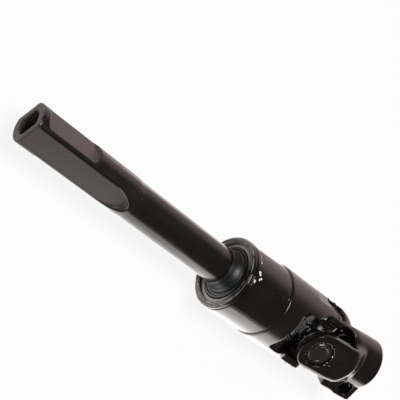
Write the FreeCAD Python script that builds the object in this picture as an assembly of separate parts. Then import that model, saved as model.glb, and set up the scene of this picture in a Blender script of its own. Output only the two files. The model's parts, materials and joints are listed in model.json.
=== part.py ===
import FreeCAD, Part
import math
import os
from FreeCAD import Placement, Rotation, Vector

os.makedirs("parts", exist_ok=True)

# All lengths are in millimetres and all angles in degrees.
# X runs along the shaft from its flatted tip, and Z is up.
# Places along the coupling are measured from the tip too, along the coupling's own axis.

# Shaft tube
SHAFT_R = 10.0
SHAFT_WALL = 3.2
SHAFT_LENGTH = 160.5
SHAFT_PHASE = 13.0          # roll of the flats about X, against the cup yoke's ears

# Double flat end of the shaft
TIP_R = 10.25
TIP_ACROSS_FLATS = 15.6
TIP_BORE_R = 6.2
TIP_BORE_ACROSS = 9.4
TIP_CHAMFER = 0.7
FLAT_FULL_LENGTH = 46.0
FLAT_RUNOUT = 13.5
TIP_TAPER = 5.0
RUNOUT_DRAFT = 1.6

# Bolt recess milled at a right angle to the two flats
RECESS_START = 4.6
RECESS_LENGTH = 29.0
RECESS_LEVEL = 7.75
RECESS_CORNER = 2.5
RECESS_DRAFT = 1.2

# Damper sleeve with its rolled rim
SHAFT_IN_DAMPER = 24.8      # how far the shaft reaches in past the rim
RIM_X = SHAFT_LENGTH - SHAFT_IN_DAMPER
SLEEVE_LENGTH = 31.0
SLEEVE_END_X = RIM_X + SLEEVE_LENGTH
SLEEVE_R = 20.5
SLEEVE_WALL = 2.0
LIP_THICKNESS = 1.6
LIP_INNER_R = 16.7
BEAD_R = 20.3
BEAD_LENGTH = 2.1
BEAD_ROUND = 1.2
GROOVE_DEPTH = 0.45
GROOVE_WIDTH = 0.6
SLEEVE_BEVEL = 0.5

# Coupling's own axis, which sags and turns a little in the soft rubber
SAG_X = RIM_X + 14.3        # where the two offsets hold, in the middle of the rubber
SAG_SIDE = -0.7
SAG_DOWN = 0.25
SAG_YAW = 1.3

# Rubber isolator with its metal rings
OUTER_RING_WALL = 1.3
OUTER_RING_LENGTH = 16.0
RING_FLANGE_T = 1.2
RING_FLANGE_R = 15.0
BUSH_WALL = 1.3
BUSH_LENGTH = 14.0
RUBBER_NOSE = 6.4           # how far the rubber climbs the shaft ahead of the rim
RUBBER_LIP_T = 0.35
RUBBER_COLLAR = 2.7         # rubber's thickness on the shaft at the rim
RUBBER_FACE = 0.8           # how far the rubber's face stands out from the lip's back
RUBBER_SETBACK = 0.8        # rubber ends short of the rings that hold it
RUBBER_MARGIN = 0.25        # rubber's throat inside the ring's flange
STOP_R = 15.0
STOP_THICKNESS = 2.5
STOP_GAP = 2.2
STOP_BEVEL = 0.4
TWIST_CLEARANCE = 0.08

# Cup yoke
CUP_R = 21.3
CUP_LEAD_R = 20.6           # where the yoke's shoulder meets the sleeve's end
CUP_LEAD = 0.8
CUP_BORE_R = 15.9
CUP_BORE_BEVEL = 2.0
CUP_WEB_T = 5.0
WEB_FROM_RIM = 39.3
MOUTH_FROM_RIM = 46.3
CROSS_FROM_RIM = 75.7
CUP_WEB_X = RIM_X + WEB_FROM_RIM
CUP_RIM_X = RIM_X + MOUTH_FROM_RIM
CROSS_X = RIM_X + CROSS_FROM_RIM
CUP_EAR_HALF = 10.1
CUP_EAR_END = 10.8
CUP_EAR_FACE = 20.6
CUP_ROOT_HALF = 17.3        # half width of an ear where it leaves the cup's rim
CUP_SHOULDER_HALF = 15.7
CUP_SHOULDER_RUN = 8.9
CUP_SLOPE_END = 10.6        # from the cross centre back to where the ear is parallel

# Both yokes' ears
EAR_INNER = 14.4
CUP_HOLE_CHAMFER = 0.3
EAR_SLOT_ROUND = 5.0
EAR_BEVEL = 0.95

# Pose of the part as it lies
LIE_ROLL = 43.0
BEND_UP = 7.5
BEND_SIDE = 7.6

# Clamp yoke
CLAMP_EAR_HALF = 12.2
CLAMP_EAR_FACE = 19.6
CLAMP_ENVELOPE_R = 21.9
CLAMP_SHOULDER = 20.5
CLAMP_BLEND_END = 30.3
CLAMP_SHOULDER_ROUND = 7.0
HUB_R = 15.3
HUB_START = 22.3
HUB_END = 43.5
HUB_CHAMFER = 1.0
PINION_BORE_R = 8.6
PINION_CHAMFER = 0.8
FLANGE_REACH = 20.4
FLANGE_HALF = 11.5
FLANGE_START = 20.5
FLANGE_ROUND = 1.2
SLOT_WIDTH = 2.6
BOLT_HOLE_R = 4.2
TAPPED_HOLE_R = 3.4
BOLT_X = 36.4
BOLT_Y = 14.0

# Cross and its four bearings
CUP_OUTER_R = 8.0
BEARING_FACE = 18.8
BEARING_LENGTH = 8.2
BEARING_WALL = 1.2
BEARING_BOTTOM = 1.2
BEARING_ROUND = 1.9
TRUNNION_R = 4.75
TRUNNION_SHOULDER_R = 6.3
TRUNNION_SHOULDER = 9.3
TRUNNION_BEVEL = 0.4
CROSS_BODY_R = 8.2
RUNNING_CLEARANCE = 0.03
PAD_THICKNESS = 0.5
PAD_GAP = 0.05
NEEDLE_COUNT = 17
NEEDLE_END_GAP = 0.35
SEAL_THICKNESS = 1.1
SEAL_WALL = 2.6

ORIGIN = Vector(0, 0, 0)
X_AXIS = Vector(1, 0, 0)
Y_AXIS = Vector(0, 1, 0)
Z_AXIS = Vector(0, 0, 1)
FAR = 60.0                  # half size of a cutting block, larger than any section here
PAST = 1.0                  # how far a cut runs past a face


def rounded_wire(corners):
    """Closed wire in the XY plane through (x, y, round radius) corners."""
    count = len(corners)
    stops = []
    for i, (x, y, radius) in enumerate(corners):
        here = Vector(x, y, 0)
        before = Vector(*corners[i - 1][:2], 0) - here
        after = Vector(*corners[(i + 1) % count][:2], 0) - here
        before.normalize()
        after.normalize()
        if radius == 0:
            stops.append((here, None, here))
            continue
        half = before.getAngle(after) / 2
        reach = radius / math.tan(half)
        middle = before + after
        middle.normalize()
        apex = here + middle * (radius / math.sin(half) - radius)
        stops.append((here + before * reach, apex, here + after * reach))
    edges = []
    for i, (start, apex, end) in enumerate(stops):
        if apex is not None:
            edges.append(Part.Arc(start, apex, end).toShape())
        following = stops[(i + 1) % count][0]
        if (following - end).Length > 1e-6:
            edges.append(Part.makeLine(end, following))
    return Part.Wire(edges)


def turned(corners):
    """Solid turned about X from (x, radius, round radius) corners."""
    return Part.Face(rounded_wire(corners)).revolve(ORIGIN, X_AXIS, 360)


def rod(radius, start, end):
    """Cylinder along X."""
    return Part.makeCylinder(radius, end - start, Vector(start, 0, 0), X_AXIS)


def block(x, y, z):
    """Box from three (low, high) pairs."""
    size = [high - low for low, high in (x, y, z)]
    return Part.makeBox(*size, Vector(x[0], y[0], z[0]))


def plate(corners, low, high):
    """Outline of (x, y, round radius) corners, raised along Z from low to high."""
    face = Part.Face(rounded_wire(corners))
    face.translate(Vector(0, 0, low))
    return face.extrude(Vector(0, 0, high - low))


def rolled(shape, angle):
    """Copy of a shape, rolled about X."""
    copy = shape.copy()
    copy.rotate(ORIGIN, X_AXIS, angle)
    return copy


def posed(shape, place):
    """Copy of a shape, moved from its own axes to a place."""
    copy = shape.copy()
    copy.Placement = place.multiply(copy.Placement)
    return copy


def save(name, shape):
    """Write one sub-part as its own file."""
    shape.exportStep("parts/" + name + ".step")


# Places of the four groups that move against each other

def shaft_place():
    """Shaft, rolled to how the whole part lies."""
    return Placement(ORIGIN, Rotation(X_AXIS, LIE_ROLL))


def coupling_place():
    """Coupling's axis, turned and shifted against the shaft's as the rubber lets it."""
    turn = Placement(Vector(SAG_X, SAG_SIDE, -SAG_DOWN), Rotation(Z_AXIS, SAG_YAW))
    about_sag = turn.multiply(Placement(Vector(-SAG_X, 0, 0), Rotation()))
    return shaft_place().multiply(about_sag)


def cup_yoke_place():
    """Cross centre on the coupling's axis."""
    return coupling_place().multiply(Placement(Vector(CROSS_X, 0, 0), Rotation()))


def cross_place():
    """Cross, tilted about the cup yoke's ear axis."""
    return cup_yoke_place().multiply(Placement(ORIGIN, Rotation(Y_AXIS, -BEND_UP)))


def clamp_place():
    """Clamp yoke, swung about the cross's upright axis."""
    return cross_place().multiply(Placement(ORIGIN, Rotation(Z_AXIS, BEND_SIDE)))


# Shaft

def runout_wire(half_width, full_length, runout, start, height):
    """Flat's outline at one height: straight sides and a half ellipse at the end."""
    if runout > half_width:
        ellipse = Part.Ellipse(Vector(full_length + runout, 0, height),
                               Vector(full_length, half_width, height), Vector(full_length, 0, height))
        end = Part.ArcOfEllipse(ellipse, -math.pi / 2, math.pi / 2).toShape()
    else:
        end = Part.Arc(Vector(full_length, -half_width, height), Vector(full_length + runout, 0, height),
                       Vector(full_length, half_width, height)).toShape()
    left = Part.makeLine(Vector(full_length, half_width, height), Vector(start, half_width, height))
    back = Part.makeLine(Vector(start, half_width, height), Vector(start, -half_width, height))
    right = Part.makeLine(Vector(start, -half_width, height), Vector(full_length, -half_width, height))
    return Part.Wire([end, left, back, right])


def tip_flat_cutter():
    """What is taken off to leave one flat, facing +Z, with its sloped rounded end."""
    level = TIP_ACROSS_FLATS / 2
    rise = TIP_R - level + PAST
    half = math.sqrt(TIP_R ** 2 - level ** 2) + 0.05
    low = runout_wire(half, FLAT_FULL_LENGTH, FLAT_RUNOUT, -PAST, level)
    high = runout_wire(half + RUNOUT_DRAFT, FLAT_FULL_LENGTH, FLAT_RUNOUT + RUNOUT_DRAFT, -PAST, level + rise)
    return Part.makeLoft([low, high], True, True)


def recess_cutter():
    """Pocket for the clamp bolt, facing +Z, with sloped ends and rounded corners."""
    half = math.sqrt(TIP_R ** 2 - RECESS_LEVEL ** 2) + 0.4
    rise = TIP_R - RECESS_LEVEL + PAST
    wires = []
    for grow, height in ((0, RECESS_LEVEL), (RECESS_DRAFT, RECESS_LEVEL + rise)):
        low_x = RECESS_START - grow
        high_x = RECESS_START + RECESS_LENGTH + grow
        side = half + grow
        corner = RECESS_CORNER + grow
        wire = rounded_wire([(low_x, -side, corner), (high_x, -side, 2 * corner),
                             (high_x, side, 2 * corner), (low_x, side, corner)])
        wire.translate(Vector(0, 0, height))
        wires.append(wire)
    return Part.makeLoft(wires, True, True)


def inner_shaft():
    """Hollow tube with a swaged double flat end and a bolt recess."""
    flat_end = FLAT_FULL_LENGTH + FLAT_RUNOUT
    body = turned([(0, 0, 0), (0, TIP_R - TIP_CHAMFER, 0), (TIP_CHAMFER, TIP_R, 0), (flat_end, TIP_R, 0),
                   (flat_end + TIP_TAPER, SHAFT_R, 0), (SHAFT_LENGTH, SHAFT_R, 0), (SHAFT_LENGTH, 0, 0)])
    flat = tip_flat_cutter()
    body = body.cut(rolled(flat, SHAFT_PHASE))
    body = body.cut(rolled(flat, SHAFT_PHASE + 180))
    body = body.cut(rolled(recess_cutter(), SHAFT_PHASE - 90))
    slab = block((-PAST, FLAT_FULL_LENGTH + PAST), (-TIP_BORE_R, TIP_BORE_R),
                 (-TIP_BORE_ACROSS / 2, TIP_BORE_ACROSS / 2))
    flat_bore = rod(TIP_BORE_R, -PAST, FLAT_FULL_LENGTH).common(slab)
    body = body.cut(rolled(flat_bore, SHAFT_PHASE))
    bore_r = SHAFT_R - SHAFT_WALL
    cone_start = FLAT_FULL_LENGTH - PAST
    body = body.cut(turned([(cone_start, 0, 0), (cone_start, TIP_BORE_ACROSS / 2, 0), (flat_end, bore_r, 0),
                            (SHAFT_LENGTH + PAST, bore_r, 0), (SHAFT_LENGTH + PAST, 0, 0)]))
    return posed(body, shaft_place())


# Damper

def ring_start():
    """Where the damper's inner parts begin, behind the sleeve's lip."""
    return RIM_X + LIP_THICKNESS


def sleeve_bore():
    """Radius of the sleeve's inside, which holds the outer ring and the cup yoke."""
    return SLEEVE_R - SLEEVE_WALL


def damper_sleeve():
    """Outer sleeve, with a rolled bead and an inward lip at its open end."""
    bead_end = RIM_X + BEAD_LENGTH
    groove_end = bead_end + GROOVE_WIDTH
    groove_r = BEAD_R - GROOVE_DEPTH
    bevel = SLEEVE_BEVEL
    shape = turned([
        (RIM_X, LIP_INNER_R, 0),
        (RIM_X, BEAD_R, BEAD_ROUND),
        (bead_end, BEAD_R, 0),
        (bead_end, groove_r, 0),
        (groove_end, groove_r, 0),
        (groove_end, SLEEVE_R - bevel, 0),
        (groove_end + bevel, SLEEVE_R, 0),
        (SLEEVE_END_X - bevel / 2, SLEEVE_R, 0),
        (SLEEVE_END_X, SLEEVE_R - bevel / 2, 0),
        (SLEEVE_END_X, sleeve_bore(), 0),
        (ring_start(), sleeve_bore(), 0),
        (ring_start(), LIP_INNER_R, 0),
    ])
    return posed(shape, coupling_place())


def outer_ring():
    """Ring that holds the rubber inside the sleeve, with a flange behind the lip."""
    start = ring_start()
    outside = sleeve_bore()
    inside = outside - OUTER_RING_WALL
    shape = turned([
        (start, RING_FLANGE_R, 0),
        (start, outside, 0),
        (start + OUTER_RING_LENGTH, outside, 0),
        (start + OUTER_RING_LENGTH, inside, 0),
        (start + RING_FLANGE_T, inside, 0),
        (start + RING_FLANGE_T, RING_FLANGE_R, 0),
    ])
    return posed(shape, coupling_place())


def bush_start():
    """Where the steel bush begins on the shaft."""
    return ring_start() + RING_FLANGE_T


def inner_bush():
    """Steel bush pressed onto the shaft inside the rubber."""
    shape = rod(SHAFT_R + BUSH_WALL, bush_start(), bush_start() + BUSH_LENGTH)
    return shape.cut(rod(SHAFT_R, bush_start() - PAST, bush_start() + BUSH_LENGTH + PAST))


def rubber_isolator():
    """Rubber between the rings, with a nose that climbs the shaft."""
    back = bush_start() + BUSH_LENGTH - RUBBER_SETBACK
    outside = sleeve_bore() - OUTER_RING_WALL
    throat = RING_FLANGE_R - RUBBER_MARGIN
    face = ring_start() - RUBBER_FACE
    ring_body = turned([
        (face, 0, 0), (face, throat - RUBBER_FACE, 0), (ring_start(), throat, 0), (bush_start(), throat, 0),
        (bush_start(), outside, 0), (back, outside, 0), (back, 0, 0),
    ])
    on_shaft = SHAFT_R + TWIST_CLEARANCE
    nose = RIM_X - RUBBER_NOSE
    collar = turned([
        (nose, 0, 0), (nose, on_shaft + RUBBER_LIP_T, 0), (RIM_X - 1.2, on_shaft + 1.4, 0),
        (face, on_shaft + RUBBER_COLLAR, 0), (bush_start(), on_shaft + RUBBER_COLLAR, 0), (bush_start(), 0, 0),
    ])
    body = posed(ring_body, coupling_place()).fuse(collar)
    body = body.cut(rod(on_shaft, nose - PAST, back + PAST))
    bush_hole = SHAFT_R + BUSH_WALL + TWIST_CLEARANCE
    body = body.cut(rod(bush_hole, bush_start() - TWIST_CLEARANCE, back + PAST))
    return body.removeSplitter()


def stop_washer():
    """Washer pressed on the shaft's end, which catches on the ring if the rubber fails."""
    start = bush_start() + BUSH_LENGTH + STOP_GAP
    end = start + STOP_THICKNESS
    return turned([
        (start, SHAFT_R, 0), (start, STOP_R - STOP_BEVEL, 0), (start + STOP_BEVEL, STOP_R, 0),
        (end - STOP_BEVEL, STOP_R, 0), (end, STOP_R - STOP_BEVEL, 0), (end, SHAFT_R, 0),
    ])


# Ears

def cup_hole(face):
    """Bearing cup's through hole along Y, with a small chamfer at both faces."""
    hole = Part.makeCylinder(CUP_OUTER_R, 2 * FAR, Vector(0, -FAR, 0), Y_AXIS)
    for side in (1, -1):
        chamfer = Part.makeCone(CUP_OUTER_R, CUP_OUTER_R + 3 * CUP_HOLE_CHAMFER, 3 * CUP_HOLE_CHAMFER,
                                Vector(0, side * (face - CUP_HOLE_CHAMFER), 0), Vector(0, side, 0))
        hole = hole.fuse(chamfer)
    return hole


def stand_ears(shape):
    """Turn a shape with ears along Y so that its ears stand along Z."""
    return rolled(shape, 90)


# Cup yoke

def cup_plan():
    """Side outline of the cup yoke, looking along its ears, about the cross centre."""
    rim = CUP_RIM_X - CROSS_X
    spigot = ring_start() + OUTER_RING_LENGTH - CROSS_X
    shoulder = rim + CUP_SHOULDER_RUN
    half = CUP_EAR_HALF
    wide = CUP_R + PAST
    upper = [(CUP_EAR_END, half, half - 0.4), (-CUP_SLOPE_END, half, 8.0),
             (shoulder, CUP_SHOULDER_HALF, 6.0), (rim, CUP_ROOT_HALF, 0), (rim, wide, 0), (spigot, wide, 0)]
    lower = [(x, -y, radius) for x, y, radius in reversed(upper)]
    return lower + upper


def cup_yoke():
    """Cup pressed into the sleeve, with two ears that carry the cross."""
    spigot = ring_start() + OUTER_RING_LENGTH - CROSS_X
    shoulder = SLEEVE_END_X - CROSS_X
    end = CUP_EAR_END
    body = turned([
        (spigot, 0, 0), (spigot, sleeve_bore(), 0), (shoulder, sleeve_bore(), 0), (shoulder, CUP_LEAD_R, 0),
        (shoulder + CUP_LEAD, CUP_R, 0), (end - EAR_BEVEL, CUP_R, 0), (end, CUP_R - EAR_BEVEL, 0), (end, 0, 0),
    ])
    plan = plate(cup_plan(), -FAR, FAR)
    plan.rotate(ORIGIN, X_AXIS, 90)
    body = body.common(plan)
    reach = CUP_OUTER_R + CUP_EAR_END
    for side in (1, -1):
        low, high = sorted((side * CUP_EAR_FACE, side * FAR))
        body = body.cut(block((-reach, reach), (low, high), (-FAR, FAR)))
    web_end = CUP_WEB_X + CUP_WEB_T - CROSS_X
    gap = plate([(web_end, -EAR_INNER, EAR_SLOT_ROUND), (end + PAST, -EAR_INNER, 0),
                 (end + PAST, EAR_INNER, 0), (web_end, EAR_INNER, EAR_SLOT_ROUND)], -FAR, FAR)
    body = body.cut(gap)
    web = CUP_WEB_X - CROSS_X
    bevel = CUP_BORE_BEVEL
    body = body.cut(turned([(spigot - PAST, 0, 0), (spigot - PAST, CUP_BORE_R, 0), (web - bevel, CUP_BORE_R, 0),
                            (web, CUP_BORE_R - bevel, 0), (web, 0, 0)]))
    body = body.cut(cup_hole(CUP_EAR_FACE))
    return posed(body.removeSplitter(), cup_yoke_place())


# Clamp yoke

def clamp_ears():
    """Two flat ears along Y, held inside a turned envelope that runs down to the hub."""
    half = CLAMP_EAR_HALF
    slab = plate([(-half, -half, half - 0.3), (CLAMP_BLEND_END, -half, 0), (CLAMP_BLEND_END, half, 0),
                  (-half, half, half - 0.3)], -CLAMP_EAR_FACE, CLAMP_EAR_FACE)
    slab.rotate(ORIGIN, X_AXIS, 90)
    envelope = turned([
        (-half - PAST, 0, 0), (-half - PAST, CLAMP_ENVELOPE_R, 0),
        (CLAMP_SHOULDER, CLAMP_ENVELOPE_R, CLAMP_SHOULDER_ROUND),
        (CLAMP_BLEND_END, HUB_R, 0), (CLAMP_BLEND_END, 0, 0),
    ])
    return slab.common(envelope)


def clamp_flanges():
    """Block of the two pinch flanges, beside the hub on its -Y side."""
    outline = [(FLANGE_START, -FLANGE_REACH, FLANGE_ROUND), (HUB_END, -FLANGE_REACH, FLANGE_ROUND),
               (HUB_END, 0, 0), (FLANGE_START, 0, 0)]
    return plate(outline, -FLANGE_HALF, FLANGE_HALF)


def clamp_yoke():
    """Forged yoke with a split hub that clamps the steering gear's pinion."""
    ears = stand_ears(clamp_ears())
    hub = turned([(HUB_START, 0, 0), (HUB_START, HUB_R, 0), (HUB_END - HUB_CHAMFER, HUB_R, 0),
                  (HUB_END, HUB_R - HUB_CHAMFER, 0), (HUB_END, 0, 0)])
    body = ears.fuse(hub).fuse(clamp_flanges())
    gap = plate([(-FAR, -EAR_INNER, 0), (HUB_START, -EAR_INNER, EAR_SLOT_ROUND),
                 (HUB_START, EAR_INNER, EAR_SLOT_ROUND), (-FAR, EAR_INNER, 0)], -FAR, FAR)
    gap = stand_ears(gap).cut(clamp_flanges())
    body = body.cut(gap)
    start = FLANGE_START - PAST
    bore_end = HUB_END - PINION_CHAMFER
    body = body.cut(turned([
        (start, 0, 0), (start, PINION_BORE_R, 0), (bore_end, PINION_BORE_R, 0),
        (HUB_END + PAST, PINION_BORE_R + PINION_CHAMFER + PAST, 0), (HUB_END + PAST, 0, 0),
    ]))
    body = body.cut(block((start, HUB_END + PAST), (-FAR, 0), (-SLOT_WIDTH / 2, SLOT_WIDTH / 2)))
    body = body.cut(Part.makeCylinder(BOLT_HOLE_R, FAR, Vector(BOLT_X, -BOLT_Y, 0), Z_AXIS))
    body = body.cut(Part.makeCylinder(TAPPED_HOLE_R, FAR, Vector(BOLT_X, -BOLT_Y, 0), Z_AXIS * -1))
    body = body.cut(stand_ears(cup_hole(CLAMP_EAR_FACE)))
    return posed(body.removeSplitter(), clamp_place())


# Cross and bearings

def trunnion_end():
    """How far each trunnion reaches from the cross centre."""
    return BEARING_FACE - BEARING_BOTTOM - PAD_THICKNESS - PAD_GAP


def cross():
    """Four trunnions on one forged centre."""
    end = trunnion_end()
    arm = turned([
        (0, 0, 0), (0, CROSS_BODY_R, 0), (TRUNNION_SHOULDER / 2, CROSS_BODY_R, 0),
        (TRUNNION_SHOULDER, TRUNNION_SHOULDER_R, 0), (TRUNNION_SHOULDER, TRUNNION_R, 0),
        (end - TRUNNION_BEVEL, TRUNNION_R, 0), (end, TRUNNION_R - TRUNNION_BEVEL, 0), (end, 0, 0),
    ])
    body = None
    for turn in range(4):
        one = arm.copy()
        one.rotate(ORIGIN, Z_AXIS, 90)
        one.rotate(ORIGIN, X_AXIS, 90 * turn)
        body = one if body is None else body.fuse(one)
    return posed(body.removeSplitter(), cross_place())


def bearing_mouth():
    """Distance of a bearing cup's open end from the cross centre."""
    return BEARING_FACE - BEARING_LENGTH


def bearing_cup():
    """Drawn cup, open towards the cross, along X."""
    inside = CUP_OUTER_R - BEARING_WALL
    floor = BEARING_FACE - BEARING_BOTTOM
    return turned([
        (bearing_mouth(), inside, 0), (bearing_mouth(), CUP_OUTER_R, 0),
        (BEARING_FACE, CUP_OUTER_R, BEARING_ROUND), (BEARING_FACE, 0, 0), (floor, 0, 0), (floor, inside, 0),
    ])


def needle_set():
    """Ring of needles round one trunnion, as a group of separate rollers."""
    inner = TRUNNION_R + RUNNING_CLEARANCE
    outer = CUP_OUTER_R - BEARING_WALL - RUNNING_CLEARANCE
    needle_r = (outer - inner) / 2
    start = bearing_mouth() + NEEDLE_END_GAP
    length = BEARING_FACE - BEARING_BOTTOM - NEEDLE_END_GAP - start
    needles = []
    for i in range(NEEDLE_COUNT):
        needle = Part.makeCylinder(needle_r, length, Vector(start, 0, inner + needle_r), X_AXIS)
        needle.rotate(ORIGIN, X_AXIS, 360 * i / NEEDLE_COUNT)
        needles.append(needle)
    return Part.makeCompound(needles)


def trunnion_seal():
    """Rubber ring on the trunnion's root, under the cup's mouth."""
    shape = rod(TRUNNION_R + SEAL_WALL, TRUNNION_SHOULDER, TRUNNION_SHOULDER + SEAL_THICKNESS)
    return shape.cut(rod(TRUNNION_R, 0, BEARING_FACE))


def thrust_pad():
    """Plastic disc between a trunnion's end and the cup's floor."""
    floor = BEARING_FACE - BEARING_BOTTOM
    return rod(TRUNNION_R - PAD_GAP, floor - PAD_THICKNESS, floor)


def along_ear(shape, upright, side):
    """Turn a bearing piece from X to the yoke's Y ears, or to the upright ones."""
    copy = shape.copy()
    copy.rotate(ORIGIN, Z_AXIS, 90 * side)
    return stand_ears(copy) if upright else copy


def save_bearings():
    """Write the four bearings' pieces, each on the yoke or the cross that carries it."""
    pieces = (("bearing_cup", bearing_cup), ("needle_set", needle_set), ("thrust_pad", thrust_pad))
    for place, upright, side in (("left", False, 1), ("right", False, -1), ("upper", True, 1), ("lower", True, -1)):
        carrier = clamp_place() if upright else cup_yoke_place()
        for name, piece in pieces:
            save(name + "_" + place, posed(along_ear(piece(), upright, side), carrier))
        save("trunnion_seal_" + place, posed(along_ear(trunnion_seal(), upright, side), cross_place()))


save("inner_shaft", inner_shaft())
save("damper_sleeve", damper_sleeve())
save("outer_ring", outer_ring())
save("inner_bush", inner_bush())
save("rubber_isolator", rubber_isolator())
save("stop_washer", stop_washer())
save("cup_yoke", cup_yoke())
save("clamp_yoke", clamp_yoke())
save("cross", cross())
save_bearings()
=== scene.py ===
# %% [markdown]
# Steering shaft with its universal joint.
# The object is a hollow steel tube with a flatted tip, a rubber damper in a pressed sleeve, a cup yoke,
# a cross on four needle bearings and a split clamp yoke, in black paint, bare rubber and a little grease.
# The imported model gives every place. This file gives the surfaces their soft edges and their finish.

# %% Load the fixed frame
import bmesh
import bpy
import json
import math
import numpy as np
from mathutils import Matrix, Vector


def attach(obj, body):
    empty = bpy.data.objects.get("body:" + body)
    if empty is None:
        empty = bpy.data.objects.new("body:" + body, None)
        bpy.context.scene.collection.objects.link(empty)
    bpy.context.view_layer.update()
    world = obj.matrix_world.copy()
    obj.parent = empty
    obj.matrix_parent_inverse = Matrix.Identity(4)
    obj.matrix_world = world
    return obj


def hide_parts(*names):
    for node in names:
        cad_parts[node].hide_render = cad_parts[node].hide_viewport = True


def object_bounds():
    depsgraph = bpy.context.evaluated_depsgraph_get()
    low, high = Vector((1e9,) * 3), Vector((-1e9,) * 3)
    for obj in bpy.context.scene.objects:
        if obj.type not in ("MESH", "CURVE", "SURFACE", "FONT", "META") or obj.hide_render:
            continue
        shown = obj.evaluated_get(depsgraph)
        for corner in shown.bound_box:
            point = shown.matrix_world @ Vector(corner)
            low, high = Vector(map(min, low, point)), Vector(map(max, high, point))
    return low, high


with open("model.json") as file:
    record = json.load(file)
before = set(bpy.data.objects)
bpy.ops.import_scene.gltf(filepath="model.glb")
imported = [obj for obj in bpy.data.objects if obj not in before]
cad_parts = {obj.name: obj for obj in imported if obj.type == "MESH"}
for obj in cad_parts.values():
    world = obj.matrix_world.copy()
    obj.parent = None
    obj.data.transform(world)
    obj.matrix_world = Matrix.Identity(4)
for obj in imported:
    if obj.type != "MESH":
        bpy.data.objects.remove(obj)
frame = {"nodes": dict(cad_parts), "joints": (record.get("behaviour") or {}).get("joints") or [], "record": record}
cad_low, cad_high = [list(corner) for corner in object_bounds()]

# %% [markdown]
# Three groups of pieces each have their own axes: the coupling, the cross and the clamp yoke.
# The joints and the clamp's mount already say where these axes point, so they are read from the record
# and not typed in again. Sizes below are in millimetres, because that is how such a part is drawn.

# %% Axes of the moving groups
MM = 0.001
joints = {joint["name"]: joint for joint in frame["joints"]}
mounts = {mount["name"]: mount for mount in frame["record"]["mounts"]}


def unit(vector):
    """Vector divided by its own length."""
    vector = np.array(vector, float)
    return vector / np.linalg.norm(vector)


class Axes:
    """A centre in millimetres and three directions at right angles."""

    def __init__(self, centre, along, upward):
        self.centre = np.array(centre, float)
        self.along = unit(along)
        self.side = unit(np.cross(upward, self.along))
        self.up = np.cross(self.along, self.side)

    def place(self, along, side, up):
        """Centre + along times the first direction + side times the second + up times the third."""
        parts = [np.asarray(value, float)[..., None] for value in (along, side, up)]
        return self.centre + parts[0] * self.along + parts[1] * self.side + parts[2] * self.up


cross_centre = np.array(joints["cross_swing"]["pos_m"]) / MM
ear_direction = unit(joints["cross_swing"]["axis"])
upright_direction = unit(joints["yoke_swing"]["axis"])
coupling_up = unit(np.cross([1, 0, 0], ear_direction))
coupling = Axes(cross_centre, np.cross(ear_direction, coupling_up), coupling_up)
clamp = Axes(cross_centre, mounts["pinion_bore"]["axis"], upright_direction)
shaft = Axes([0, 0, 0], [1, 0, 0], coupling_up)
print("coupling leans", round(math.degrees(math.acos(coupling.along[0])), 2), "degrees from the shaft")

# %% [markdown]
# The photograph is taken from above the flatted tip, along the part. A camera was fitted to the outlines
# of the tube and the sleeve, and its numbers are kept here as a place, a view direction and a lens.
# It goes in first, so that every later step can be judged in the same picture.

# %% Camera
CAMERA_PLACE = (-167.582, -148.542, 340.453)
CAMERA_LOOK = (0.57878, 0.36569, -0.72889)
CAMERA_UP = (-0.51103, 0.85919, 0.02527)
LENS_MM = 84.16
SENSOR_MM = 36.0
IMAGE_PX = 400

look = unit(CAMERA_LOOK)
right = unit(np.cross(look, CAMERA_UP))
up = np.cross(right, look)
camera_data = bpy.data.cameras.new("camera")
camera_data.lens = LENS_MM
camera_data.sensor_width = SENSOR_MM
camera_data.clip_start = 0.01
camera_data.clip_end = 50
camera = bpy.data.objects.new("camera", camera_data)
bpy.context.scene.collection.objects.link(camera)
turn = Matrix([list(right), list(up), list(-look)]).transposed().to_4x4()
camera.matrix_world = Matrix.Translation(Vector(CAMERA_PLACE) * MM) @ turn
bpy.context.scene.camera = camera


def sight(pixel):
    """Start and direction of the line of sight through a pixel of the 400 by 400 photograph."""
    focal_px = LENS_MM / SENSOR_MM * IMAGE_PX
    half = IMAGE_PX / 2
    direction = look * focal_px + right * (pixel[0] - half) - up * (pixel[1] - half)
    return np.array(CAMERA_PLACE), unit(direction)


def on_cylinder(pixel, axes, radius):
    """Point where the line of sight first meets a cylinder: the smaller root of |across|^2 = radius^2."""
    start, direction = sight(pixel)
    offset = start - axes.centre
    across = offset - axes.along * (offset @ axes.along)
    slope = direction - axes.along * (direction @ axes.along)
    a, b, c = slope @ slope, 2 * across @ slope, across @ across - radius ** 2
    distance = (-b - math.sqrt(b * b - 4 * a * c)) / (2 * a)
    return start + direction * distance


print("camera stands", round(float(np.linalg.norm(CAMERA_PLACE)), 1), "mm from the tip")

# %% [markdown]
# Every finish below is a tree of nodes. A few helpers keep the recipes short: one adds a node and fills in
# its inputs, and the others add the node for a sum, a ramp or a mix and hand back what it puts out.

# %% Node helpers


def new_material(name):
    """Material with an empty node tree, and its output node."""
    material = bpy.data.materials.new(name)
    material.use_nodes = True
    material.node_tree.nodes.clear()
    output = material.node_tree.nodes.new("ShaderNodeOutputMaterial")
    return material, output


def add(tree, kind, settings=(), **inputs):
    """New node, with plain settings, and each input given a value or linked to a socket."""
    node = tree.nodes.new(kind)
    for name, value in dict(settings).items():
        setattr(node, name, value)
    for name, value in inputs.items():
        key = int(name[1:]) if name[0] == "i" and name[1:].isdigit() else name.replace("_", " ")
        if isinstance(value, bpy.types.NodeSocket):
            tree.links.new(value, node.inputs[key])
        else:
            node.inputs[key].default_value = value
    return node


def calculate(tree, operation, first, second=0.0, third=None):
    """Output of a Math node."""
    values = {"i0": first, "i1": second}
    if third is not None:
        values["i2"] = third
    return add(tree, "ShaderNodeMath", {"operation": operation}, **values).outputs[0]


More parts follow.
